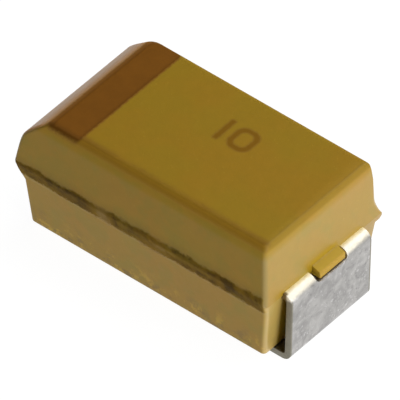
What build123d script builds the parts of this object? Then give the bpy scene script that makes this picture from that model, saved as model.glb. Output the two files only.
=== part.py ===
from build123d import *
import os
from math import radians, tan

# Surface-mount tantalum capacitor, case size C (6032-28), in millimetres.
# Origin: middle of the footprint, on the solder plane. +Z is up, +X points to the
# cathode end, and the anode end with its bevel is at -X.

# Moulded case, outside
case_length = 5.75            # at the mould's parting plane
case_width = 3.17             # at the mould's parting plane
case_standoff = 0.12          # underside of the case above the solder plane
lower_height = 1.38           # underside to parting plane
upper_height = 1.28           # parting plane to top face
upper_draft = 7.0             # degrees, front and both ends
upper_back_draft = 5.1        # degrees
lower_draft = 6.1             # degrees, all four sides
front_step = 0.07             # lower half set in at the parting plane; none at the back
anode_step = 0.12
cathode_step = 0.03
ledge_height = 0.25           # sloped underside of the parting ledge, on the front
lip_height = 0.11             # front and anode end turn in below this, down to the parting plane
lip_inset = 0.03
upright_edge_radius = 0.10
top_edge_radius = 0.09

# Polarity marks at the anode end
bevel_setback = 0.73          # bevel's upper edge from the parting outline, along the length
bevel_drop = 0.58             # bevel's lower edge below the top face
bevel_edge_radius = 0.12
band_width = 0.70             # etched stripe across the top, from the bevel's upper edge
band_depth = 0.015

# Flash left along the back of the parting plane
flash_reach = 0.125
flash_drop = 0.12             # underside below the parting plane
flash_flare_height = 0.35     # where the hollow curve starts, above the parting plane
flash_hollow_height = 0.12    # how low the hollow curve is drawn in before it runs out

# Lead frame
strip_thickness = 0.13
strip_bend_radius = 0.06      # inside of each bend
strip_rise = 0.05             # upper face above the parting plane
terminal_width = 2.20
cathode_reach = 0.23          # outer face beyond the case at the parting plane
cathode_lean = 1.1            # degrees, towards the case going down
anode_reach = 0.07            # formed tighter to the case
anode_lean = 5.5
foot_length = 1.30            # from the case end to the tip of the foot
foot_clearance = 0.03         # foot to case, above and round the recess
notch_width = 0.90
notch_shift = 0.05            # towards the back
notch_drop = 0.16             # below the strip's upper face
notch_corner_radius = 0.12
notch_inner_wall = 0.28       # notch's inner end inside the case end
shoulder_inner_wall = 0.43    # where the strip narrows, inside the case end
anode_tab_width = 1.10
cathode_tab_width = 1.40

# Resin nibs that stand through the notches
nib_width = 0.74
nib_shift = 0.08              # towards the back
nib_setback = 0.03            # its face behind the strip's outer face
nib_rise = 0.13               # above the parting plane on the case end
nib_face_rise = 0.06          # top of its face above the parting plane
nib_drop = 0.08               # below the parting plane

# Anode pellet and its wire
pellet_length = 3.30
pellet_width = 2.26
pellet_height = 1.50
pellet_edge_radius = 0.20
pellet_offset = 0.30          # pellet's middle from the case's middle, along the length
wire_diameter = 0.30
wire_weld_flat = 0.03         # flattened depth where the wire lies on the anode tab
wire_embedded = 2.30
wire_outside = 0.95
tab_to_pellet = 0.40          # bare wire between the anode tab and the pellet

# Coats on the pellet, and what lies against them
manganese_thickness = 0.05
graphite_thickness = 0.03
graphite_margin = 0.20        # bare length at the anode end
silver_thickness = 0.04
silver_margin = 0.35          # bare length at the anode end
washer_diameter = 1.00
washer_thickness = 0.12
adhesive_thickness = 0.05
adhesive_length = 1.35        # along the pellet's underside
adhesive_height = 0.45        # up the pellet's end
cathode_paddle_overrun = 0.10  # strip beyond the adhesive, under the pellet

# Places that follow from those sizes
parting_z = case_standoff + lower_height
top_z = parting_z + upper_height
case_end = case_length / 2
case_side = case_width / 2
strip_top_z = parting_z + strip_rise
strip_mid_z = strip_top_z - strip_thickness / 2
bend_mid_radius = strip_bend_radius + strip_thickness / 2
wire_radius = wire_diameter / 2
element_z = strip_top_z + wire_radius - wire_weld_flat
pellet_start = pellet_offset - pellet_length / 2
all_coats = manganese_thickness + graphite_thickness + silver_thickness
coat_end = pellet_start + pellet_length + all_coats
coat_bottom = element_z - pellet_height / 2 - all_coats


def upper_inset(z, draft):
    """How far the upper half lies inside the parting outline at height z."""
    return (z - parting_z) * tan(radians(draft))


def lower_inset(z, step):
    """How far the lower half lies inside the parting outline at height z."""
    return step + (parting_z - z) * tan(radians(lower_draft))


def case_outline(z, front_inset, back_inset, anode_inset, cathode_inset):
    """Rounded rectangle at height z, set in from the parting outline."""
    length = case_length - anode_inset - cathode_inset
    width = case_width - front_inset - back_inset
    centre = Pos((anode_inset - cathode_inset) / 2, (front_inset - back_inset) / 2, z)
    return centre * RectangleRounded(length, width, upright_edge_radius)


def upper_outline(z, extra_back, lip):
    """Outline of the upper half at height z, with room added at the back and the lip turned in."""
    inset = upper_inset(z, upper_draft)
    back = upper_inset(z, upper_back_draft) - extra_back
    return case_outline(z, inset + lip, back, inset + lip, inset)


def upper_half():
    """Drafted block above the parting plane, with the anode bevel and soft top edges."""
    block = loft(
        [
            upper_outline(parting_z, 0, lip_inset),
            upper_outline(parting_z + lip_height, 0, 0),
            upper_outline(top_z, 0, 0),
        ],
        ruled=True,
    )
    bevel_top_x = -case_end + bevel_setback
    bevel_low_z = top_z - bevel_drop
    bevel_low_x = -case_end + upper_inset(bevel_low_z, upper_draft)
    slope = bevel_drop / (bevel_top_x - bevel_low_x)
    run = 1.0
    wedge = Polyline(
        (bevel_low_x - run, bevel_low_z - run * slope),
        (bevel_top_x + run, top_z + run * slope),
        (bevel_low_x - run, top_z + run * slope),
        close=True,
    )
    wedge = extrude(Plane.XZ * make_face(wedge), case_width, both=True)
    block -= wedge
    low_edge = block.edges().filter_by(Axis.Y).sort_by(lambda e: abs(e.center().Z - bevel_low_z))[0]
    block = fillet(low_edge, bevel_edge_radius)
    return fillet(block.faces().sort_by(Axis.Z)[-1].outer_wire().edges(), top_edge_radius)


def lower_outline(z):
    """Outline of the lower half at height z."""
    back = lower_inset(z, 0)
    return case_outline(z, back + front_step, back, back + anode_step, back + cathode_step)


def lower_half():
    """Drafted block below the parting plane, with the sloped ledge on its front."""
    block = loft([lower_outline(case_standoff), lower_outline(parting_z)], ruled=True)
    ledge_top = case_outline(parting_z, lip_inset, 0, anode_step, cathode_step)
    ledge = loft([lower_outline(parting_z - ledge_height), ledge_top], ruled=True)
    return block + ledge


def back_flash():
    """Thin fin of flash along the back, hollow-curved above and flat below."""
    flare_z = parting_z + flash_flare_height
    flare_y = case_side - upper_inset(flare_z, upper_back_draft)
    tip_y = case_side + flash_reach
    inside_y = flare_y - flash_reach
    outline = [
        Bezier((flare_y, flare_z), (case_side, parting_z + flash_hollow_height), (tip_y, parting_z)),
        Polyline(
            (tip_y, parting_z),
            (tip_y, parting_z - flash_drop),
            (inside_y, parting_z - flash_drop),
            (inside_y, flare_z),
            (flare_y, flare_z),
        ),
    ]
    fin = extrude(Plane.YZ * make_face(outline), case_length, both=True)
    room = flash_reach + upright_edge_radius
    limits = [upper_outline(parting_z - flash_drop, room, 0), upper_outline(top_z, room, 0)]
    return fin & loft(limits, ruled=True)


def nib(reach):
    """Resin that flowed through a strip's notch and stands proud of the case end."""
    root = case_end - shoulder_inner_wall / 2
    face_x = case_end + reach - nib_setback
    profile = Polyline(
        (root, parting_z - nib_drop),
        (face_x, parting_z - nib_drop),
        (face_x, parting_z + nib_face_rise),
        (case_end - upper_inset(parting_z + nib_rise, upper_draft), parting_z + nib_rise),
        (root, parting_z + nib_rise),
        close=True,
    )
    return Pos(0, nib_shift, 0) * extrude(Plane.XZ * make_face(profile), nib_width / 2, both=True)


def foot_recess():
    """Shallow pocket in the case's underside above the cathode foot."""
    depth = strip_thickness + foot_clearance
    inner = case_end - foot_length - foot_clearance
    width = terminal_width + 2 * foot_clearance
    return Pos(inner, 0, 0) * Box(foot_length * 2, width, depth, align=(Align.MIN, Align.CENTER, Align.MIN))


def terminal_outside(reach, lean):
    """Points of a strip's middle line outside the case, from the case end to the foot."""
    face_x = case_end + reach - strip_thickness / 2
    foot_z = strip_thickness / 2
    lean_run = (strip_mid_z - foot_z) * tan(radians(lean))
    return [(face_x, strip_mid_z), (face_x - lean_run, foot_z), (case_end - foot_length, foot_z)]


def bent_strip(points):
    """Full-width strip that follows the middle line through the given points."""
    line = FilletPolyline(*points, radius=bend_mid_radius)
    return extrude(Plane.XZ * trace(line, line_width=strip_thickness), terminal_width / 2, both=True)


def notch_cutter():
    """Notch through the strip's upper bend."""
    inner = case_end - notch_inner_wall
    length = notch_inner_wall + cathode_reach * 2
    low = strip_top_z - notch_drop
    height = notch_drop + strip_thickness
    cutter = Pos(inner, notch_shift, low) * Box(length, notch_width, height, align=(Align.MIN, Align.CENTER, Align.MIN))
    floor_edges = cutter.edges().filter_by(Axis.X).group_by(Axis.Z)[0]
    inner_edges = cutter.edges().filter_by(Axis.Z).group_by(Axis.X)[0]
    return fillet(floor_edges + inner_edges, notch_corner_radius)


def shoulder_cutters(tab_width):
    """Blocks that narrow the strip to its tab inside the case."""
    side = (terminal_width - tab_width) / 2
    reach = case_end - shoulder_inner_wall
    block = Box(reach, side, top_z, align=(Align.MIN, Align.MIN, Align.MIN))
    lift = strip_thickness + foot_clearance
    return [Pos(0, tab_width / 2, lift) * block, Pos(0, -tab_width / 2 - side, lift) * block]


def cathode_terminal():
    """Tinned strip: under the element, up its end, out of the case, down and under."""
    under_z = coat_bottom - adhesive_thickness - strip_thickness / 2
    rise_x = coat_end + adhesive_thickness + strip_thickness / 2
    inner_end = coat_end - adhesive_length - cathode_paddle_overrun
    inside = [(inner_end, under_z), (rise_x, under_z), (rise_x, strip_mid_z)]
    strip = bent_strip(inside + terminal_outside(cathode_reach, cathode_lean))
    for cutter in shoulder_cutters(cathode_tab_width) + [notch_cutter()]:
        strip -= cutter
    return strip


def anode_terminal():
    """Tinned strip: straight tab under the wire, out of the case, down and under."""
    tab_end = tab_to_pellet - pellet_start
    strip = bent_strip([(tab_end, strip_mid_z)] + terminal_outside(anode_reach, anode_lean))
    for cutter in shoulder_cutters(anode_tab_width) + [notch_cutter()]:
        strip -= cutter
    return mirror(strip, Plane.YZ)


def element_block(grow, start, end):
    """Rounded block along the element's axis, grown outwards from the pellet's section."""
    section = RectangleRounded(pellet_width + 2 * grow, pellet_height + 2 * grow, pellet_edge_radius + grow)
    plane = Plane(origin=(start, 0, element_z), x_dir=(0, 1, 0), z_dir=(1, 0, 0))
    return extrude(plane * section, end - start)


def round_along_x(diameter, start, end):
    """Cylinder on the element's axis."""
    plane = Plane(origin=(start, 0, element_z), x_dir=(0, 1, 0), z_dir=(1, 0, 0))
    return extrude(plane * Circle(diameter / 2), end - start)


def anode_wire():
    """Riser wire, flattened underneath where it is welded to the anode tab."""
    wire = round_along_x(wire_diameter, pellet_start - wire_outside, pellet_start + wire_embedded)
    tab = Box(case_length, anode_tab_width, strip_thickness, align=(Align.MAX, Align.CENTER, Align.MAX))
    return wire - Pos(pellet_start - tab_to_pellet, 0, strip_top_z) * tab


def tantalum_anode():
    """Sintered pellet, pressed round the wire."""
    pellet = element_block(0, pellet_start, pellet_start + pellet_length)
    return pellet - round_along_x(wire_diameter, pellet_start, pellet_start + wire_embedded)


def manganese_dioxide_coat():
    """Electrolyte skin over the whole pellet, with the wire through its anode end."""
    end = pellet_start + pellet_length
    start = pellet_start - manganese_thickness
    skin = element_block(manganese_thickness, start, end + manganese_thickness)
    skin -= element_block(0, pellet_start, end)
    return skin - round_along_x(wire_diameter, start, pellet_start)


def cup_coat(under, thickness, margin):
    """Coat over the sides and cathode end of what is under it, bare for a margin at the anode end."""
    start = pellet_start - manganese_thickness + margin
    end = pellet_start + pellet_length + under
    return element_block(under + thickness, start, end + thickness) - element_block(under, start, end)


def graphite_coat():
    return cup_coat(manganese_thickness, graphite_thickness, graphite_margin)


def silver_coat():
    return cup_coat(manganese_thickness + graphite_thickness, silver_thickness, silver_margin)


def wire_washer():
    """PTFE washer on the wire, against the coated end of the pellet."""
    seat = pellet_start - manganese_thickness
    ring = round_along_x(washer_diameter, seat - washer_thickness, seat)
    return ring - round_along_x(wire_diameter, seat - washer_thickness, seat)


def silver_adhesive():
    """Angle of adhesive between the coated pellet and the bent cathode strip."""
    low_z = coat_bottom - adhesive_thickness
    far_x = coat_end + adhesive_thickness
    angle = Polyline(
        (coat_end - adhesive_length, coat_bottom),
        (coat_end - adhesive_length, low_z),
        (far_x, low_z),
        (far_x, coat_bottom + adhesive_height),
        (coat_end, coat_bottom + adhesive_height),
        (coat_end, coat_bottom),
        close=True,
    )
    block = extrude(Plane.XZ * make_face(angle), cathode_tab_width / 2, both=True)
    corner = block.edges().filter_by(Axis.Y).sort_by(lambda e: e.center().Z - e.center().X)[0]
    return fillet(corner, strip_bend_radius)


def polarity_band():
    """Shallow etched stripe along the bevel's upper edge."""
    start = -case_end + bevel_setback
    across = (Align.MIN, Align.CENTER, Align.CENTER)
    return Pos(start, 0, top_z) * Box(band_width, case_width, band_depth * 2, align=across)


def moulded_case(held):
    """The whole moulding, with what it was moulded round taken out of it."""
    case = upper_half() + lower_half() + back_flash()
    case += nib(cathode_reach) + mirror(nib(anode_reach), Plane.YZ)
    case -= foot_recess() + mirror(foot_recess(), Plane.YZ)
    case -= polarity_band()
    for piece in held:
        case -= piece
    return case


held_pieces = {
    "anode_terminal": anode_terminal(),
    "cathode_terminal": cathode_terminal(),
    "tantalum_anode": tantalum_anode(),
    "anode_wire": anode_wire(),
    "wire_washer": wire_washer(),
    "manganese_dioxide_coat": manganese_dioxide_coat(),
    "graphite_coat": graphite_coat(),
    "silver_coat": silver_coat(),
    "silver_adhesive": silver_adhesive(),
}
pieces = {"moulded_case": moulded_case(held_pieces.values()), **held_pieces}

os.makedirs("parts", exist_ok=True)
for name, piece in pieces.items():
    export_step(piece, f"parts/{name}.step")
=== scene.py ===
from math import cos, pi, radians, sin, sqrt, tan

import bmesh
import bpy
from mathutils import Matrix, Vector


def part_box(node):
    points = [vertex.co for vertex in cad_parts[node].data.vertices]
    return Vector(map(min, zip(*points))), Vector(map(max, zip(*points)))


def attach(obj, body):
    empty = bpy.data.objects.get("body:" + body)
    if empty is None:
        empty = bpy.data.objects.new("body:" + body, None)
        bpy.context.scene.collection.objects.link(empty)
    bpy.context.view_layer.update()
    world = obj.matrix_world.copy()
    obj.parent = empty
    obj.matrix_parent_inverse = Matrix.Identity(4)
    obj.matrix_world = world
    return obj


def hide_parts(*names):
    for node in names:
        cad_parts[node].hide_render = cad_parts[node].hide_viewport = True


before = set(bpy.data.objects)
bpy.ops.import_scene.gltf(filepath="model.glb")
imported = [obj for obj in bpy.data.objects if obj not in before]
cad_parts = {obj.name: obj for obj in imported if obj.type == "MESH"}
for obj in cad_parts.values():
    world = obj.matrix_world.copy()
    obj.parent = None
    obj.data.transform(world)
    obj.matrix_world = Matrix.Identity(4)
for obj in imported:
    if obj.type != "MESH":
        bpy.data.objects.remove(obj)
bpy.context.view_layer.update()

# Sizes below are in millimetres. A finished mesh is scaled to metres once, by place_in_metres.
MM = 0.001
PER_MM = 1 / MM

# Points closer than this are at the same height, or at the same place.
SAME = 1e-5
NEAR = 1e-4

# ---- Places taken from the frame -------------------------------------------------------
case_low, case_high = (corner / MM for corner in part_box("moulded_case"))
cathode_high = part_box("cathode_terminal")[1] / MM
anode_low, anode_high = (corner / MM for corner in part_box("anode_terminal"))
glue_low, glue_high = (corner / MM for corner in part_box("silver_adhesive"))

# ---- Moulded case ----------------------------------------------------------------------
case_length = 5.75
case_width = 3.17
strip_top_z = cathode_high.z
strip_rise = 0.05
parting_z = strip_top_z - strip_rise
top_z = case_high.z
underside_z = case_low.z
case_end = case_length / 2
case_side = case_width / 2
upper_draft = tan(radians(7.0))
upper_back_draft = tan(radians(5.1))
lower_draft = tan(radians(6.1))
anode_draft = tan(radians(4.7))
front_step = 0.07
anode_step = 0.15
anode_ledge_height = 0.33
cathode_step = 0.03
ledge_height = 0.25
lip_height = 0.11
lip_inset = 0.03
corner_radius = 0.075
round_corner_radius = 0.20
corner_segments = 9
tip_corner_radius = 0.03
blunt_corner_radius = 0.12
blunt_corner_rise = 0.30
crisp_corner_radius = 0.015
crisp_corner_start = 0.40
crisp_corner_rise = 0.85
top_corner_growth = 0.05
top_corner_height = 0.20
top_edge_radius = 0.12
bottom_edge_radius = 0.045
bevel_setback = 0.69
bevel_drop = 0.54
bevel_softness = 0.12
bevel_foot_z = top_z - bevel_drop - 0.15
flash_reach = case_high.y - case_side
flash_drop = 0.16
flash_tip_drop = 0.07
flash_flare_height = 0.35
flash_hollow_height = 0.12
flash_nose = 0.05
wall_pitch = 0.05
level_gap = 0.002

# ---- Polarity band ---------------------------------------------------------------------
band_overlap = 0.03
band_start = -case_end + bevel_setback - band_overlap
band_width = 0.70
band_depth = 0.015

# ---- Lead frame ------------------------------------------------------------------------
strip_thickness = 0.13
strip_width = 2 * cathode_high.y
inner_bend_radius = 0.06
bend_radius = inner_bend_radius + strip_thickness / 2
bend_steps = 10
press_in = 0.02
cathode_reach = cathode_high.x - case_end - press_in
cathode_lean = tan(radians(0.5))
anode_reach = -anode_low.x - case_end
anode_lean = tan(radians(5.5))
foot_length = 1.30
foot_clearance = 0.03
notch_width = 0.87
notch_shift = 0.035
notch_drop = 0.16
notch_floor_z = strip_top_z - notch_drop
notch_corner = 0.12
notch_inner_wall = 0.28
shoulder_inner_wall = 0.43
anode_tab_width = 1.10
cathode_tab_width = 1.40
paddle_clearance = 0.10
stamped_edge = 0.018
strip_mid_z = strip_top_z - strip_thickness / 2

# ---- Resin nibs in the notches ---------------------------------------------------------
nib_width = 0.70
nib_shift = 0.06
nib_setback = 0.03
nib_rise = 0.13
nib_face_rise = 0.06
nib_drop = 0.08
nib_rounding = 0.02

# A cutter runs this far past what it cuts.
clear = 1.0


# ---- Working at the bench --------------------------------------------------------------
def put_down_everything():
    if bpy.context.mode != "OBJECT":
        bpy.ops.object.mode_set(mode="OBJECT")
    bpy.ops.object.select_all(action="DESELECT")


def take_up(piece):
    """Makes this piece the only one that is selected."""
    put_down_everything()
    piece.select_set(True)
    bpy.context.view_layer.objects.active = piece


def named(name):
    """The primitive that was just added, under its name."""
    piece = bpy.context.object
    piece.name = name
    piece.data.name = name
    return piece


def settle(piece):
    """Puts the object's own place, turn and size into its mesh."""
    take_up(piece)
    bpy.ops.object.transform_apply(location=True, rotation=True, scale=True)


def open_mesh(piece):
    take_up(piece)
    bpy.ops.object.mode_set(mode="EDIT")
    return bmesh.from_edit_mesh(piece.data)


def close_mesh():
    bpy.ops.object.mode_set(mode="OBJECT")


def pick(mesh, kind, wanted):
    """Selects the faces, edges or vertices that are wanted, and nothing else."""
    bpy.ops.mesh.select_mode(type={"verts": "VERT", "edges": "EDGE", "faces": "FACE"}[kind])
    bpy.ops.mesh.select_all(action="DESELECT")
    for item in getattr(mesh, kind):
        if wanted(item):
            item.select_set(True)
    mesh.select_flush_mode()


def middle(edge):
    return (edge.verts[0].co + edge.verts[1].co) / 2


def finish_with(piece, kind, **settings):
    """Adds a modifier and applies it."""
    take_up(piece)
    modifier = piece.modifiers.new(kind.title(), kind)
    for key, value in settings.items():
        setattr(modifier, key, value)
    bpy.ops.object.modifier_apply(modifier=modifier.name)


def scrap(piece):
    bpy.data.objects.remove(piece, do_unlink=True)


def cut_away(piece, cutter):
    finish_with(piece, "BOOLEAN", operation="DIFFERENCE", object=cutter, solver="MANIFOLD")
    scrap(cutter)


def join_on(piece, addition):
    finish_with(piece, "BOOLEAN", operation="UNION", object=addition, solver="MANIFOLD")
    scrap(addition)


def block(name, low, high):
    """Box between two corners, with its place in its mesh."""
    low, high = Vector(low), Vector(high)
    bpy.ops.mesh.primitive_cube_add(size=1, location=(low + high) / 2)
    piece = named(name)
    piece.scale = high - low
    settle(piece)
    return piece


def round_edges(piece, wanted, radius, segments):
    mesh = open_mesh(piece)
    pick(mesh, "edges", wanted)
    bpy.ops.mesh.bevel(offset=radius, segments=segments, affect="EDGES")
    close_mesh()


def place_in_metres(piece, smooth_angle):
    """Scales the finished mesh, and smooths it except across its real edges."""
    put_down_everything()
    piece.scale = (MM, MM, MM)
    settle(piece)
    bpy.ops.object.shade_smooth_by_angle(angle=radians(smooth_angle))
    finish_with(piece, "WEIGHTED_NORMAL", keep_sharp=True, mode="FACE_AREA")


def mirrored(piece, name):
    """A copy of this piece for the other end, right side out."""
    take_up(piece)
    bpy.ops.object.duplicate()
    twin = named(name)
    twin.scale.x = -1
    settle(twin)
    open_mesh(twin)
    bpy.ops.mesh.select_all(action="SELECT")
    bpy.ops.mesh.normals_make_consistent(inside=False)
    close_mesh()
    return twin


# ---- Moulded case ----------------------------------------------------------------------
class Level:
    """One height of the moulding, and how far each side lies inside the parting outline."""

    def __init__(self, z, front, back, anode, cathode):
        self.size = Vector((case_length - anode - cathode, case_width - front - back, 1))
        self.centre = Vector(((anode - cathode) / 2, (front - back) / 2, z))


def spread(start, stop, count):
    """Even steps after the start, up to and with the stop."""
    return [start + (stop - start) * i / count for i in range(1, count + 1)]


def way_up(z, low, high):
    """0 at or under low, 1 at or over high."""
    return min(1.0, max(0.0, (z - low) / (high - low)))


def between(first, second, share):
    return first + (second - first) * share


def soft_max(a, b, softness):
    """The larger of two, with the step from one to the other rounded off."""
    return (a + b + sqrt((a - b) ** 2 + softness ** 2)) / 2


def bevel_inset(z):
    """Anode end of the upper half: the wall, then the bevel, with a soft bend between."""
    wall = (z - parting_z) * upper_draft
    wall_at_bevel = (top_z - bevel_drop - parting_z) * upper_draft
    bevel = bevel_setback - (top_z - z) * (bevel_setback - wall_at_bevel) / bevel_drop
    return soft_max(wall, bevel, bevel_softness)


def upper_level(z, back_reach=0.0, rounding=0.0):
    rise = z - parting_z
    lip = lip_inset * max(0.0, 1 - rise / lip_height) ** 2
    wall = rise * upper_draft + rounding
    back = rise * upper_back_draft - back_reach + rounding
    return Level(z, wall + lip, back, bevel_inset(z) + lip + rounding * 1.5, wall - rounding * 0.5)


def lower_level(z, back_reach=0.0, rounding=0.0):
    fall = parting_z - z
    wall = fall * lower_draft + rounding
    front = wall + front_step - (front_step - lip_inset) * max(0.0, 1 - fall / ledge_height)
    anode = fall * anode_draft + rounding + anode_step
    anode -= (anode_step - lip_inset) * max(0.0, 1 - (fall / anode_ledge_height) ** 2)
    return Level(z, front, wall - back_reach, anode, wall + cathode_step)


def flash_level(z, reach):
    """One height of the flash, by how far it reaches beyond the parting outline."""
    if z < parting_z:
        return lower_level(z, reach + (parting_z - z) * lower_draft)
    return upper_level(z, reach + (z - parting_z) * upper_back_draft)


def flash_levels():
    """Underside and edge of the flash, then the hollow curve that runs up into the back.

    No two levels share a height, because each level picks its face by its height.
    """
    low_z = parting_z - flash_drop
    tip_z = parting_z - flash_tip_drop
    yield flash_level(low_z + level_gap, flash_reach - flash_nose)
    yield flash_level(low_z + flash_nose, flash_reach)
    yield flash_level(tip_z, flash_reach)
    flare_height = flash_flare_height + flash_tip_drop
    flare_y = -flash_flare_height * upper_back_draft
    for t in spread(1, 0, 18):
        rise = (1 - t) ** 2 * flare_height + 2 * t * (1 - t) * flash_hollow_height
        yield flash_level(tip_z + rise, (1 - t) ** 2 * flare_y + t ** 2 * flash_reach)


def case_levels():
    """The moulding from its underside to its top face."""
    for turn in (pi / 2 * i / 5 for i in range(6)):
        rounding = bottom_edge_radius * (1 - sin(turn))
        yield lower_level(underside_z + bottom_edge_radius * (1 - cos(turn)), rounding=rounding)
    for start, stop, count in (
        (underside_z + bottom_edge_radius, parting_z - anode_ledge_height, 14),
        (parting_z - anode_ledge_height, parting_z - ledge_height, 4),
        (parting_z - ledge_height, parting_z - flash_drop, 8),
    ):
        for z in spread(start, stop, count):
            yield lower_level(z)
    yield from flash_levels()
    bevel_z = top_z - bevel_drop
    for start, stop, count in (
        (parting_z + flash_flare_height, bevel_z - bevel_softness / 2, 5),
        (bevel_z - bevel_softness / 2, bevel_z + bevel_softness / 2, 8),
        (bevel_z + bevel_softness / 2, top_z - top_edge_radius, 8),
    ):
        for z in spread(start, stop, count):
            yield upper_level(z)
    for turn in spread(0, pi / 2, 7):
        rounding = top_edge_radius * (1 - cos(turn))
        yield upper_level(top_z - top_edge_radius * (1 - sin(turn)), rounding=rounding)


def back_corner_radius(z, end):
    """Radius of a back corner of the plan, which changes on its way up.

    The end is -1 at the anode, where the corner grows along the bevel. It is 1 at the cathode,
    where it is sharp on the flash, blunt just above it and crisp in the wall.
    """
    if end < 0:
        return between(corner_radius, round_corner_radius, way_up(z, bevel_foot_z, top_z))
    rise = z - parting_z
    if rise < -flash_drop:
        return corner_radius
    if rise < blunt_corner_rise:
        return between(tip_corner_radius, blunt_corner_radius, way_up(rise, 0, blunt_corner_rise))
    share = way_up(rise, crisp_corner_start, crisp_corner_rise)
    wall = between(blunt_corner_radius, crisp_corner_radius, share)
    return wall + top_corner_growth * way_up(z, top_z - top_corner_height, top_z)


def case_block():
    """Rounded outline, extruded from level to level and resized at each, back corners reset."""
    levels = list(case_levels())
    first = levels[0]
    bpy.ops.mesh.primitive_plane_add(size=1, location=first.centre)
    piece = named("case_moulding")
    piece.scale = first.size
    settle(piece)
    mesh = open_mesh(piece)
    for front in (True, False):
        radius = corner_radius if front else round_corner_radius
        near_edge = lambda v: abs(abs(v.co.y) * 2 - first.size.y) < 0.2
        sharp = lambda v: near_edge(v) and len(v.link_edges) == 2 and (v.co.y < 0) == front
        pick(mesh, "verts", sharp)
        bpy.ops.mesh.bevel(offset=radius, segments=corner_segments, affect="VERTICES")
    pick(mesh, "edges", lambda e: e.calc_length() > case_width * 1.2)
    bpy.ops.mesh.subdivide(number_cuts=round(case_length / wall_pitch))
    pick(mesh, "edges", lambda e: e.calc_length() > case_width / 2)
    bpy.ops.mesh.subdivide(number_cuts=round(case_width / wall_pitch))
    corner = {end: Vector((round_corner_radius, round_corner_radius)) for end in (-1, 1)}
    below = None
    for level in levels:
        if below:
            pick(mesh, "faces", lambda f: all(abs(v.co.z - below.centre.z) < SAME for v in f.verts))
            step = level.centre - below.centre
            bpy.ops.mesh.extrude_region_move(TRANSFORM_OT_translate={"value": step})
            ratio = Vector((level.size.x / below.size.x, level.size.y / below.size.y, 1))
            bpy.ops.transform.resize(value=ratio, center_override=level.centre)
        for end, now in corner.items():
            if below:
                now.x, now.y = now.x * ratio.x, now.y * ratio.y
            wanted = back_corner_radius(level.centre.z, end)
            tip = level.centre + Vector((end * level.size.x / 2, level.size.y / 2, 0))
            in_corner = lambda v: (
                abs(v.co.z - tip.z) < SAME
                and abs(v.co.x - tip.x) < now.x + NEAR
                and abs(v.co.y - tip.y) < now.y + NEAR
            )
            pick(mesh, "verts", in_corner)
            bpy.ops.transform.resize(value=(wanted / now.x, wanted / now.y, 1), center_override=tip)
            now.x = now.y = wanted
        below = level
    close_mesh()
    return piece


def nib(name, reach):
    """Resin that came through a strip's notch, at the cathode end: sloped above, flat in front."""
    root = case_end - shoulder_inner_wall / 2
    face_x = case_end + reach - nib_setback
    low = (root, nib_shift - nib_width / 2, parting_z - nib_drop)
    high = (face_x, nib_shift + nib_width / 2, parting_z + nib_rise)
    piece = block(name, low, high)
    mesh = open_mesh(piece)
    upright = lambda e: middle(e).x > case_end and abs(e.verts[0].co.z - e.verts[1].co.z) > 0.1
    pick(mesh, "edges", upright)
    bpy.ops.mesh.subdivide(number_cuts=1)
    heights = sorted({round(v.co.z, 4) for v in mesh.verts if v.co.x > case_end})
    back_x = case_end - nib_rise * upper_draft
    face_top = (heights[1], parting_z + nib_face_rise, face_x)
    back_top = (heights[2], high[2], back_x)
    for old_z, new_z, new_x in (face_top, back_top):
        pick(mesh, "verts", lambda v: v.co.x > case_end and abs(v.co.z - old_z) < 10 * NEAR)
        bpy.ops.transform.translate(value=(new_x - face_x, 0, new_z - old_z))
    close_mesh()
    round_edges(piece, lambda e: middle(e).x > case_end - 0.02, nib_rounding, 4)
    return piece


def foot_recess():
    """Shallow pocket in the underside above the cathode foot."""
    inner = case_end - foot_length - foot_clearance
    half_width = strip_width / 2 + foot_clearance
    high = (case_end + clear, half_width, strip_thickness + foot_clearance)
    return block("foot_recess", (inner, -half_width, -clear), high)


def band_pocket():
    """Shallow pocket of the polarity band."""
    low = (band_start, -case_width / 2, top_z - band_depth)
    return block("band_pocket", low, (band_start + band_width, case_width / 2, top_z + clear))


case = case_block()
join_on(case, nib("cathode_nib", cathode_reach))
anode_nib = nib("nib_half", anode_reach)
join_on(case, mirrored(anode_nib, "anode_nib"))
scrap(anode_nib)
recess = foot_recess()
cut_away(case, mirrored(recess, "anode_recess"))
cut_away(case, recess)
cut_away(case, band_pocket())
place_in_metres(case, 35)


# ---- Terminals -------------------------------------------------------------------------
def follow(start, corners):
    """Takes the selected end face along the bent middle line, spinning it round each corner."""
    here = Vector(start)
    for corner, beyond in zip(corners, corners[1:]):
        way_in = (corner - here).normalized()
        way_out = (beyond - corner).normalized()
        turn = way_in.angle_signed(way_out)
        setback = bend_radius * tan(abs(turn) / 2)
        bend_start = corner - way_in * setback
        step = bend_start - here
        bpy.ops.mesh.extrude_region_move(TRANSFORM_OT_translate={"value": (step.x, 0, step.y)})
        aside = Vector((way_in.y, -way_in.x)) * (1 if turn > 0 else -1)
        centre = bend_start + aside * bend_radius
        bpy.ops.mesh.spin(steps=bend_steps, angle=-turn, center=(centre.x, 0, centre.y), axis=(0, 1, 0))
        here = corner + way_out * setback
    step = corners[-1] - here
    bpy.ops.mesh.extrude_region_move(TRANSFORM_OT_translate={"value": (step.x, 0, step.y)})


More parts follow.
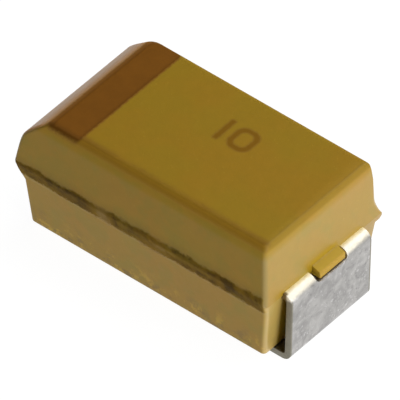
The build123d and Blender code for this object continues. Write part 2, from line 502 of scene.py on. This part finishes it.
def strip(name, inside, reach, lean):
    """Flat strip that runs from inside the case, out, down and under."""
    face_x = case_end + reach - strip_thickness / 2
    foot_z = strip_thickness / 2
    lean_run = (strip_mid_z - foot_z) * lean
    line = inside + [(face_x, strip_mid_z), (face_x - lean_run, foot_z), (case_end - foot_length, foot_z)]
    line = [Vector(point) for point in line]
    bpy.ops.mesh.primitive_plane_add(size=1, location=(line[0].x, 0, line[0].y), rotation=(0, -pi / 2, 0))
    piece = named(name)
    piece.scale = (strip_thickness, strip_width, 1)
    settle(piece)
    mesh = open_mesh(piece)
    pick(mesh, "faces", lambda f: True)
    follow(line[0], line[1:])
    bpy.ops.mesh.select_all(action="SELECT")
    bpy.ops.mesh.normals_make_consistent(inside=False)
    close_mesh()
    return piece


def notch_cutter():
    inner = case_end - notch_inner_wall
    low = (inner, notch_shift - notch_width / 2, notch_floor_z)
    cutter = block("notch", low, (case_end + clear, notch_shift + notch_width / 2, strip_top_z + clear))
    along = lambda e: abs(e.verts[0].co.y - e.verts[1].co.y) < NEAR
    floor_or_end = lambda e: middle(e).z < notch_floor_z + NEAR or middle(e).x < inner + NEAR
    round_edges(cutter, lambda e: along(e) and floor_or_end(e), notch_corner, 6)
    return cutter


def shoulder_cutter(name, tab_width, side):
    lift = strip_thickness + foot_clearance
    low_y, high_y = sorted((side * tab_width / 2, side * (strip_width / 2 + clear)))
    return block(name, (-case_end, low_y, lift), (case_end - shoulder_inner_wall, high_y, top_z))


def terminal(name, inside, reach, lean, tab_width):
    piece = strip(name, inside, reach, lean)
    for side in (-1, 1):
        cut_away(piece, shoulder_cutter("shoulder", tab_width, side))
    cut_away(piece, notch_cutter())
    sharp = {"limit_method": "ANGLE", "angle_limit": radians(50)}
    finish_with(piece, "BEVEL", width=stamped_edge, segments=3, **sharp)
    return piece


under_z = glue_low.z - strip_thickness / 2
rise_x = glue_high.x + strip_thickness / 2
paddle_end = glue_low.x - paddle_clearance
cathode_inside = [(paddle_end, under_z), (rise_x, under_z), (rise_x, strip_mid_z)]
cathode = terminal("cathode_strip", cathode_inside, cathode_reach, cathode_lean, cathode_tab_width)
anode_inside = [(-anode_high.x, strip_mid_z)]
anode_half = terminal("anode_half", anode_inside, anode_reach, anode_lean, anode_tab_width)
anode = mirrored(anode_half, "anode_strip")
scrap(anode_half)
for piece in (cathode, anode):
    place_in_metres(piece, 35)


# ---- Finishes --------------------------------------------------------------------------
def ink(red, green, blue):
    """A colour from its usual 0 to 255 values."""
    def straight(value):
        value /= 255
        return value / 12.92 if value <= 0.04045 else ((value + 0.055) / 1.055) ** 2.4

    return straight(red), straight(green), straight(blue), 1.0


class Signal:
    """A value inside a finish. Arithmetic on it adds Math nodes."""

    def __init__(self, finish, socket):
        self.finish = finish
        self.socket = socket

    def maths(self, operation, *values):
        return self.finish.node("ShaderNodeMath", {"operation": operation}, dict(enumerate(values)))

    def __add__(self, other):
        return self.maths("ADD", self, other)

    def __sub__(self, other):
        return self.maths("SUBTRACT", self, other)

    def __rsub__(self, other):
        return self.maths("SUBTRACT", other, self)

    def __mul__(self, other):
        return self.maths("MULTIPLY", self, other)

    def __pow__(self, other):
        return self.maths("POWER", self, other)

    def __abs__(self):
        return self.maths("ABSOLUTE", self)

    __radd__ = __add__
    __rmul__ = __mul__

    def at_least(self, other):
        return self.maths("MAXIMUM", self, other)

    def at_most(self, other):
        return self.maths("MINIMUM", self, other)

    def rise(self, low, high):
        """0 below low, 1 above high, smooth between."""
        return self.finish.node(
            "ShaderNodeMapRange",
            {"interpolation_type": "SMOOTHSTEP"},
            {"Value": self, "From Min": low, "From Max": high},
        )

    def fall(self, low, high):
        return 1 - self.rise(low, high)


class Finish:
    """One material, built from nodes over the piece's own coordinates."""

    def __init__(self, name, **constants):
        self.material = bpy.data.materials.new(name)
        self.material.use_nodes = True
        self.tree = self.material.node_tree
        self.shader = self.tree.nodes["Principled BSDF"]
        for key, value in constants.items():
            self.shader.inputs[key.replace("_", " ").title().replace("Ior", "IOR")].default_value = value
        self.place = self.node("ShaderNodeTexCoord", output="Object")
        apart = {"Vector": self.place}
        self.x, self.y, self.z = (
            self.node("ShaderNodeSeparateXYZ", {}, apart, axis) * PER_MM for axis in "XYZ"
        )

    def node(self, kind, settings=None, sockets=None, output=0):
        made = self.tree.nodes.new(kind)
        for key, value in (settings or {}).items():
            setattr(made, key, value)
        for key, value in (sockets or {}).items():
            self.feed(made.inputs[key], value)
        return Signal(self, made.outputs[output])

    def feed(self, socket, value):
        if isinstance(value, Signal):
            self.tree.links.new(value.socket, socket)
        else:
            socket.default_value = value

    def cloud(self, per_mm, detail=3.0, roughness=0.55, distortion=0.0, stretch=None, shift=(0, 0, 0)):
        """Soft random pattern, 0 to 1, with so many features in a millimetre. The shift is in metres."""
        place = self.place
        if stretch or any(shift):
            moved = {"Vector": place, "Scale": stretch or (1, 1, 1), "Location": shift}
            place = self.node("ShaderNodeMapping", {}, moved)
        return self.node(
            "ShaderNodeTexNoise",
            {},
            {
                "Vector": place,
                "Scale": per_mm * PER_MM,
                "Detail": detail,
                "Roughness": roughness,
                "Distortion": distortion,
            },
        )

    def cells(self, per_mm, output="Distance"):
        """Small cells: the distance from each one's middle, or a random colour for each."""
        sockets = {"Vector": self.place, "Scale": per_mm * PER_MM}
        return self.node("ShaderNodeTexVoronoi", {}, sockets, output)

    def blend(self, share, first, second):
        """The first colour where share is 0, the second where it is 1."""
        factor, colour_a, colour_b, colour_out = 0, 6, 7, 2
        sockets = {factor: share, colour_a: first, colour_b: second}
        return self.node("ShaderNodeMix", {"data_type": "RGBA"}, sockets, colour_out)

    def relief(self, height, depth, strength=1.0, over=None):
        """Bump whose full height is so many millimetres."""
        sockets = {"Height": height, "Distance": depth * MM, "Strength": strength}
        if over:
            sockets["Normal"] = over
        return self.node("ShaderNodeBump", {}, sockets)

    def lay(self, **channels):
        for key, value in channels.items():
            self.feed(self.shader.inputs[key.replace("_", " ").title()], value)
        return self.material

    def dull(self, share, roughness, specular, **channels):
        """Lays a duller surface over the first one, by its share."""
        glossy, out = self.shader, self.tree.nodes["Material Output"]
        self.shader = self.tree.nodes.new("ShaderNodeBsdfPrincipled")
        self.shader.inputs["Roughness"].default_value = roughness
        self.shader.inputs["Specular IOR Level"].default_value = specular
        self.lay(**channels)
        mixed = self.node("ShaderNodeMixShader", {}, {0: share})
        self.tree.links.new(glossy.outputs[0], mixed.socket.node.inputs[1])
        self.tree.links.new(self.shader.outputs[0], mixed.socket.node.inputs[2])
        self.tree.links.new(mixed.socket, out.inputs["Surface"])
        return self.material


def rounded_patch(across, along, half_across, half_along, radius, softness):
    """1 inside a rounded rectangle about the origin of across and along, 0 outside."""
    past_across = (abs(across) - (half_across - radius)).at_least(0)
    past_along = (abs(along) - (half_along - radius)).at_least(0)
    out = (past_across ** 2 + past_along ** 2) ** 0.5 - radius
    return out.fall(-softness / 2, softness / 2)


def moulded_epoxy():
    """Golden ochre moulding compound with its filler, mould stipple and laser marks."""
    resin = Finish("moulded_epoxy", specular_ior_level=0.5, ior=1.5, coat_roughness=0.3)
    x, y, z = resin.x, resin.y, resin.z
    top = z.rise(top_z - 0.18, top_z - 0.08)
    patches = resin.cloud(0.9, 2, 0.5)
    mottle = resin.cloud(5, 4, 0.6)
    grain = resin.cloud(38, 3, 0.6)
    colour = resin.blend(patches.rise(0.35, 0.65), ink(156, 123, 12), ink(160, 121, 13))
    colour = resin.blend(mottle.rise(0.3, 0.75) * 0.25, colour, ink(144, 114, 12))
    filler = resin.cells(14).fall(0.10, 0.22) * resin.cloud(9, 2, 0.5, shift=(0.01, 0, 0)).rise(0.5, 0.62)
    colour = resin.blend(filler * 0.3, colour, ink(186, 152, 46))
    olive = resin.cloud(1.7, 4, 0.65, shift=(0.004, 0.002, 0)).rise(0.46, 0.62)
    olive = olive * z.fall(top_z - 0.23, top_z - 0.10)
    colour = resin.blend(olive * 0.35, colour, ink(134, 122, 22))

    # Flash and dirt along the parting line, with painted shade under the lip: uneven, thin in one place,
    # with a paler streak in it.
    on_front = y.fall(-1.47, -1.40) * x.fall(case_end - 0.10, case_end - 0.05)
    on_anode_end = x.fall(-2.74, -2.66)
    on_back = y.rise(1.48, 1.54) * x.fall(1.2, 2.5) * 0.3
    side = (on_front + on_anode_end + on_back).at_most(1)
    wander = (resin.cloud(2.4, 4, 0.65) - 0.5) * 0.16 + (resin.cloud(9, 3, 0.7) - 0.5) * 0.12
    line_z = z - 0.012 * x + wander
    below_line = line_z.fall(1.62, 1.70) * 0.75 + line_z.fall(1.66, 1.86) * 0.25
    above_ledge = (z + wander + (grain - 0.5) * 0.16).rise(1.25, 1.36)
    seam = below_line * above_ledge * side
    thin_place = abs(x + 0.86).fall(0.04, 0.34)
    streak = abs(line_z - 1.49).fall(0.02, 0.07) * abs(x - 0.95).fall(0.5, 1.1)
    dirt_and_shade = seam * (1 - 0.42 * thin_place) * (1 - 0.15 * streak)
    dirt_and_shade = dirt_and_shade * (0.66 + 0.34 * resin.cloud(1.6, 5, 0.75, shift=(0.0031, 0, 0)).rise(0.35, 0.6))
    dirt_and_shade_tone = resin.blend(resin.cloud(3.5, 3, 0.6).rise(0.4, 0.65), ink(94, 68, 8), ink(58, 40, 4))
    # Painted shadow: a dark line just under the lip edge, where shade falls.
    lip_shadow_line = abs(line_z - 1.63).fall(0.03, 0.09)
    lip_shadow_line = lip_shadow_line * resin.cloud(1.1, 3, 0.6, shift=(0, 0.002, 0)).rise(0.42, 0.58)
    dirt_and_shade_tone = resin.blend(lip_shadow_line * 0.9, dirt_and_shade_tone, ink(34, 21, 3))
    colour = resin.blend(dirt_and_shade * 0.92, colour, dirt_and_shade_tone)

    # Bevel, a little redder than the rest, with a painted reflection that pales it towards the top.
    off_side_walls = (abs(y) + upper_draft * (z - parting_z)).fall(case_side - 0.04, case_side - 0.01)
    bevel = x.fall(-2.28, -2.20) * z.rise(2.14, 2.26) * off_side_walls
    bevel_sheen_tone = resin.blend(z.rise(2.40, 2.65), ink(182, 122, 20), ink(206, 150, 84))
    colour = resin.blend(bevel * 0.9, colour, bevel_sheen_tone)

    # Top edge along the front: painted shade on the rounded edge, darker where it faces away from the
    # light.
    edge_y = -1.34
    front_edge_shade = (abs(y - edge_y) + wander * 0.4).fall(0.02, 0.16) * z.rise(top_z - 0.08, top_z - 0.035)
    front_edge_shade = front_edge_shade * (0.35 + 0.3 * resin.cloud(1.3, 2, 0.5).rise(0.3, 0.7))
    colour = resin.blend(front_edge_shade, colour, ink(128, 88, 14))
    # Painted light: the lower part of the rounding is lightened against the shade that falls there.
    rounded = (y + 0.5 * wander).fall(edge_y, edge_y + 0.04)
    rounded = rounded * z.rise(top_z - 0.15, top_z - 0.08) * z.fall(top_z - 0.025, top_z - 0.005)
    colour = resin.blend(rounded * 0.7, colour, ink(166, 124, 34))

    # Top edge of the cathode end, painted darker to take back the extra light that its rounding catches.
    cathode_edge_shade = (x + wander * 0.2).rise(2.62, 2.69) * z.rise(top_z - 0.16, top_z - 0.08)
    colour = resin.blend(cathode_edge_shade * 0.6, colour, ink(128, 102, 26))

    # Lower edges, where chips show fresh resin and dirt.
    low = z.fall(0.20, 0.75)
    chips = low * resin.cloud(4, 4, 0.7, shift=(0.002, 0.003, 0)).rise(0.53, 0.64)
    colour = resin.blend(chips * 0.75, colour, ink(190, 152, 30))
    smudge = low * resin.cloud(3, 4, 0.7, shift=(0.006, 0.001, 0)).rise(0.50, 0.64)
    colour = resin.blend(smudge * 0.6, colour, ink(112, 88, 34))

    nicks = z.fall(0.14, 0.20) * resin.cloud(11, 3, 0.7).rise(0.50, 0.60)
    colour = resin.blend(nicks * 0.6, colour, ink(96, 80, 34))

    # Cathode end beside the terminal, painted lighter to stand in for light that the terminal's shadow
    # takes away, and the darker nib over it.
    walls = z.fall(top_z - 0.33, top_z - 0.16)
    undrafted_x = x + 0.12 * abs(z - parting_z)
    end_wall = undrafted_x.rise(case_end - 0.12, case_end - 0.03)
    beside_terminal_light = y.fall(-1.08, -0.98) * z.fall(1.40, 1.56) * end_wall
    colour = resin.blend(beside_terminal_light * 0.45, colour, ink(206, 180, 112))
    # Painted reflection: the front corner of the cathode end is paled and greyed like the sheen on the
    # end wall.
    corner_sheen = (y - upper_draft * (z - parting_z) + case_side).fall(0.04, 0.10)
    corner_sheen = corner_sheen * walls * z.rise(parting_z, parting_z + 0.05)
    colour = resin.blend(corner_sheen * end_wall * 0.7, colour, ink(150, 128, 62))
    nib_top_z = parting_z + nib_rise
    nib_heights = z.rise(parting_z - 0.02, parting_z + 0.02) * z.fall(nib_top_z + 0.02, nib_top_z + 0.14)
    nib_root = abs(y - nib_shift).fall(nib_width / 2 - 0.05, nib_width / 2 + 0.05)
    nib_root = nib_root * nib_heights * end_wall * 0.7
    nib_part = x.rise(case_end + 0.005, case_end + 0.02).at_least(nib_root)
    colour = resin.blend(nib_part * 0.6, colour, ink(176, 146, 48))
    nib_face_x = case_end + cathode_reach - nib_setback
    nib_face = x.rise(nib_face_x - 0.04, nib_face_x - 0.01)
    colour = resin.blend(nib_face * 0.8, colour, ink(172, 138, 56))

    # Polarity band.
    fuzz = (resin.cloud(16, 2, 0.6) - 0.5) * 0.05
    band_x = x - (band_start + band_width / 2) + fuzz
    band_y = y + fuzz
    band = rounded_patch(band_x, band_y, band_width / 2 + band_overlap, 1.43, 0.10, 0.07)
    band = band * z.rise(top_z - 0.18, top_z - 0.12)
    band_tone = resin.blend(resin.cloud(3, 3, 0.6).rise(0.3, 0.7), ink(122, 76, 14), ink(128, 80, 16))
    band_tone = resin.blend(x.fall(-2.20, -2.12) * 0.7, band_tone, ink(158, 104, 34))
    band_end = y.fall(-1.38, -1.26)
    band_tone = resin.blend(band_end * 0.6, band_tone, ink(98, 62, 10))
    colour = resin.blend(band, colour, band_tone)

    # Plain value mark: a bar and a ring.
    mark_x, mark_y = x - 0.56 + fuzz * 0.6, y - 0.45 + fuzz * 0.6
    half_height, stroke, soft_edge = 0.30, 0.12, 0.08
    bar = rounded_patch(mark_x + 0.30, mark_y, stroke / 2, half_height, 0.04, soft_edge)
    ring_out = rounded_patch(mark_x - 0.13, mark_y, 0.25, half_height, 0.20, soft_edge)
    ring_in = rounded_patch(mark_x - 0.13, mark_y, 0.25 - stroke, half_height - stroke, 0.10, soft_edge)
    mark = (bar + ring_out - ring_in).at_most(1) * z.rise(top_z - 0.08, top_z - 0.03)
    colour = resin.blend(mark * 0.85, colour, ink(128, 88, 14))

    burnt = band.at_least(mark)
    end_face = undrafted_x.rise(case_end - 0.07, case_end - 0.035)
    front_dulling = 0.44 + 0.08 * z.rise(1.3, 1.6) + 0.2 * z.rise(2.45, 2.55)
    front_wall = y.fall(-1.38, -1.32) * (1 - end_face) * front_dulling
    roughness = 0.50 - 0.16 * walls + 0.08 * mottle
    stipple = grain * 0.6 + resin.cloud(14, 3, 0.6) * 0.4
    normal = resin.relief(stipple, 0.006, 0.6)
    normal = resin.relief(patches + mottle * 0.3, 0.02, 0.5, over=normal)
    normal = resin.relief(dirt_and_shade * (0.5 + resin.cloud(9, 4, 0.7)), 0.02, 0.7, over=normal)
    gloss = end_wall * walls * (1 - nib_part) * 0.45
    resin.lay(base_color=colour, roughness=roughness, coat_weight=gloss, normal=normal)
    matt = (dirt_and_shade * 1.4).at_most(0.97)
    for share in (burnt * 0.9, top * 0.6, front_wall, nib_part * 0.8):
        matt = matt.at_least(share)
    return resin.dull(matt, 0.8, 0.08, base_color=colour, normal=normal)


def tinned_strip():
    """Matte tin plating over the lead frame: smeared, with a painted highlight on the upper bend and a
    painted reflection of the case end at its root.
    """
    tin = Finish("tinned_strip", metallic=1.0)
    x, y, z = tin.x, tin.y, tin.z
    smear = tin.cloud(3.2, 5, 0.65, 0.8)
    crystals = tin.cells(24)
    streaks = tin.cloud(6, 3, 0.6, stretch=(1, 0.25, 1))
    spots = tin.cloud(9, 4, 0.7, shift=(0.004, 0, 0))
    tone = tin.blend(smear.rise(0.3, 0.7), ink(152, 150, 148), ink(186, 184, 181))
    tone = tin.blend(streaks.rise(0.6, 0.72) * 0.5, tone, ink(208, 206, 204))
    tone = tin.blend(spots.rise(0.58, 0.68) * 0.6, tone, ink(128, 126, 126))
    tone = tin.blend(spots.fall(0.32, 0.42) * 0.6, tone, ink(216, 214, 214))
    # Painted highlight on the upper bend, where light from above strikes.
    bend_highlight = z.rise(strip_top_z - 0.13, strip_top_z - 0.05)
    tone = tin.blend(bend_highlight * 0.9, tone, ink(231, 225, 208))
    # Painted reflection of the golden case end on the bend next to it.
    root = bend_highlight * abs(x).fall(case_end + 0.01, case_end + 0.08)
    tone = tin.blend(root * 0.7, tone, ink(240, 226, 168))
    cut_edge = abs(y).rise(strip_width / 2 - 0.05, strip_width / 2 - 0.015)
    cut_edge = cut_edge * z.fall(strip_top_z - 0.14, strip_top_z - 0.08)
    tone = tin.blend(cut_edge * 0.75, tone, ink(134, 129, 110))
    # Painted shade at the near corner where the strip leaves the case, in the gap's shadow.
    root_corner_shade = y.fall(-1.07, -1.01) * abs(x).fall(case_end + 0.05, case_end + 0.10) * z.rise(1.36, 1.40)
    tone = tin.blend(root_corner_shade * 0.9, tone, ink(104, 82, 36))
    roughness = 0.32 + 0.10 * smear + 0.05 * crystals + 0.16 * bend_highlight + 0.25 * cut_edge
    normal = tin.relief(tin.cloud(5, 4, 0.65), 0.02, 0.6)
    normal = tin.relief(crystals, 0.003, 0.6, over=normal)
    return tin.lay(base_color=tone, roughness=roughness, normal=normal)


def sintered_tantalum():
    """Pressed and sintered powder: dull dark grey, full of pores."""
    pellet = Finish("sintered_tantalum", metallic=0.8)
    pores = pellet.cells(26).fall(0.15, 0.45) * pellet.cloud(12, 4, 0.7).rise(0.40, 0.60)
    grain = pellet.cloud(40, 4, 0.7)
    tone = pellet.blend(pellet.cloud(3, 3, 0.6).rise(0.35, 0.65), ink(104, 106, 111), ink(124, 126, 132))
    # The pores are painted dark: painted shade inside them.
    tone = pellet.blend(pores * 0.8, tone, ink(48, 49, 53))
    normal = pellet.relief(grain - pores, 0.02, 0.9)
    return pellet.lay(base_color=tone, roughness=0.62 + 0.25 * grain, normal=normal)


def drawn_wire():
    """Tantalum wire with the die's long scratches and a faint blue-grey oxide."""
    wire = Finish("drawn_wire", metallic=1.0)
    scratches = wire.cloud(30, 4, 0.7, stretch=(0.05, 1, 1))
    oxide = wire.cloud(4, 3, 0.6).rise(0.40, 0.65)
    tone = wire.blend(scratches.rise(0.3, 0.7), ink(158, 160, 165), ink(186, 187, 190))
    tone = wire.blend(oxide * 0.35, tone, ink(120, 126, 146))
    normal = wire.relief(scratches, 0.006, 0.8)
    return wire.lay(base_color=tone, roughness=0.26 + 0.18 * scratches, normal=normal)


def waxy_washer():
    """White fluoropolymer, skived from a rod: milky, with fine turning rings."""
    washer = Finish("waxy_washer", subsurface_weight=0.2, subsurface_scale=0.0003)
    milk = washer.cloud(6, 3, 0.6)
    rings = washer.cloud(26, 2, 0.5, stretch=(0.1, 1, 1))
    tone = washer.blend(milk.rise(0.35, 0.65), ink(226, 224, 215), ink(240, 238, 231))
    normal = washer.relief(rings, 0.004, 0.6)
    return washer.lay(base_color=tone, roughness=0.34 + 0.14 * rings, normal=normal)


def manganese_dioxide():
    """Black crystalline coat, built up in dips, with small glints on its facets."""
    coat = Finish("manganese_dioxide")
    facets = coat.cells(34, output="Color")
    lumps = coat.cloud(8, 5, 0.7)
    tone = coat.blend(lumps.rise(0.35, 0.7), ink(44, 41, 41), ink(66, 62, 60))
    glint = coat.cells(34).fall(0.05, 0.20)
    tone = coat.blend(glint * 0.4, tone, ink(92, 90, 92))
    normal = coat.relief(lumps + coat.cells(34), 0.02, 0.8)
    return coat.lay(base_color=tone, roughness=0.55 + 0.35 * facets, normal=normal)


def graphite():
    """Dipped carbon coat: charcoal with a soft burnished sheen."""
    coat = Finish("graphite", metallic=0.15)
    burnish = coat.cloud(3, 4, 0.6, 0.6)
    specks = coat.cells(40).fall(0.08, 0.20)
    tone = coat.blend(burnish.rise(0.35, 0.65), ink(84, 84, 87), ink(104, 104, 108))
    tone = coat.blend(specks * 0.4, tone, ink(132, 133, 138))
    normal = coat.relief(burnish + specks, 0.01, 0.7)
    return coat.lay(base_color=tone, roughness=0.42 + 0.25 * burnish, normal=normal)


def silver_paint():
    """Silver-flake paint: overlapping flakes in a thin binder, with sags from the dip."""
    coat = Finish("silver_paint", metallic=1.0)
    flakes = coat.cells(30, output="Color")
    sags = coat.cloud(1.5, 3, 0.5)
    tone = coat.blend(flakes, ink(206, 205, 199), ink(232, 231, 227))
    tone = coat.blend(coat.cloud(10, 4, 0.7).rise(0.55, 0.68) * 0.5, tone, ink(176, 172, 160))
    normal = coat.relief(flakes, 0.003, 0.7)
    normal = coat.relief(sags, 0.03, 0.6, over=normal)
    return coat.lay(base_color=tone, roughness=0.34 + 0.20 * flakes, normal=normal)


def silver_glue():
    """Silver-filled adhesive, squeezed out rough between the pellet and the strip."""
    glue = Finish("silver_glue", metallic=0.85)
    lumps = glue.cloud(5, 5, 0.7, 0.4)
    filler = glue.cells(22).fall(0.12, 0.35)
    tone = glue.blend(lumps.rise(0.35, 0.65), ink(176, 173, 164), ink(208, 206, 199))
    tone = glue.blend(filler * 0.5, tone, ink(232, 231, 227))
    normal = glue.relief(lumps + filler * 0.4, 0.03, 0.9)
    return glue.lay(base_color=tone, roughness=0.42 + 0.30 * lumps, normal=normal)


def dress(piece, finish):
    piece.data.materials.clear()
    piece.data.materials.append(finish)


dress(case, moulded_epoxy())
tin = tinned_strip()
dress(cathode, tin)
dress(anode, tin)

for node, finish in (
    ("tantalum_anode", sintered_tantalum),
    ("anode_wire", drawn_wire),
    ("wire_washer", waxy_washer),
    ("manganese_dioxide_coat", manganese_dioxide),
    ("graphite_coat", graphite),
    ("silver_coat", silver_paint),
    ("silver_adhesive", silver_glue),
):
    material = finish()
    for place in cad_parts[node].material_slots:
        place.material = material

for piece, node, slot in (
    (case, "moulded_case", "moulded_epoxy"),
    (cathode, "cathode_terminal", "tinned_strip"),
    (anode, "anode_terminal", "tinned_strip"),
):
    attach(piece, "root")
    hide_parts(node)


# ---- Floor, light and camera, in metres ------------------------------------------------
WHITE = (1, 1, 1, 1)


def floor():
    """Wide sheet of paper. It glows nearly white by itself, so shadows on it stay faint."""
    bpy.ops.mesh.primitive_plane_add(size=1.2, location=(0, 0, 0))
    sheet = named("floor")
    settle(sheet)
    glow = {"emission_color": WHITE, "emission_strength": 0.96}
    paper = Finish("floor_paper", specular_ior_level=0.1, roughness=1.0, **glow)
    speckle = paper.cloud(0.02, 2, 0.5)
    shade = paper.blend(speckle, (0.10, 0.10, 0.10, 1), (0.12, 0.12, 0.12, 1))
    dress(sheet, paper.lay(base_color=shade))


def soft_light(name, direction, distance, size, strength):
    """Square light that looks at the object. Strength is the light that it lays on a facing wall."""
    direction = Vector(direction).normalized()
    lamp = bpy.data.lights.new(name, "AREA")
    lamp.size = size
    lamp.energy = strength * pi * pi * distance ** 2
    lamp_object = bpy.data.objects.new(name, lamp)
    bpy.context.scene.collection.objects.link(lamp_object)
    lamp_object.location = direction * distance
    lamp_object.rotation_euler = direction.to_track_quat("Z", "Y").to_euler()
    lamp_object.visible_camera = False


def surroundings(strength):
    """Faint light from all round, with a white backdrop behind the floor's far edge."""
    world = bpy.data.worlds.new("studio")
    bpy.context.scene.world = world
    world.use_nodes = True
    background = world.node_tree.nodes["Background"]
    background.inputs["Color"].default_value = WHITE
    path = world.node_tree.nodes.new("ShaderNodeLightPath")
    backdrop = world.node_tree.nodes.new("ShaderNodeMapRange")
    backdrop.inputs["To Min"].default_value = strength
    backdrop.inputs["To Max"].default_value = 1.0
    world.node_tree.links.new(path.outputs["Is Camera Ray"], backdrop.inputs["Value"])
    world.node_tree.links.new(backdrop.outputs["Result"], background.inputs["Strength"])


def camera():
    """Long lens that looks down at the front and the cathode end. Its place is in millimetres."""
    azimuth, elevation, roll = radians(38.72), radians(43.69), radians(1.02)
    distance, aside, lift = 293.35, 0.0941, 0.8928
    back = Vector((sin(azimuth) * cos(elevation), -cos(azimuth) * cos(elevation), sin(elevation)))
    level = Vector((cos(azimuth), sin(azimuth), 0))
    upright = back.cross(level)
    right = level * cos(roll) + upright * sin(roll)
    up = upright * cos(roll) - level * sin(roll)
    lens = bpy.data.cameras.new("camera")
    lens.lens = 1500
    lens.sensor_width = 36
    lens.clip_start = 0.001
    lens.clip_end = 10
    eye = bpy.data.objects.new("camera", lens)
    bpy.context.scene.collection.objects.link(eye)
    place = (back * distance + right * aside + up * lift) * MM
    turned = Matrix((right, up, back)).transposed().to_4x4()
    eye.matrix_world = Matrix.Translation(place) @ turned
    bpy.context.scene.camera = eye


floor()
surroundings(0.05)
soft_light("key_light", (0.25, 0.56, 0.79), 0.06, 0.066, 0.95)
soft_light("side_light", (0.95, -0.10, 0.28), 0.06, 0.04, 0.76)
camera()
bpy.context.scene.view_settings.view_transform = "Standard"
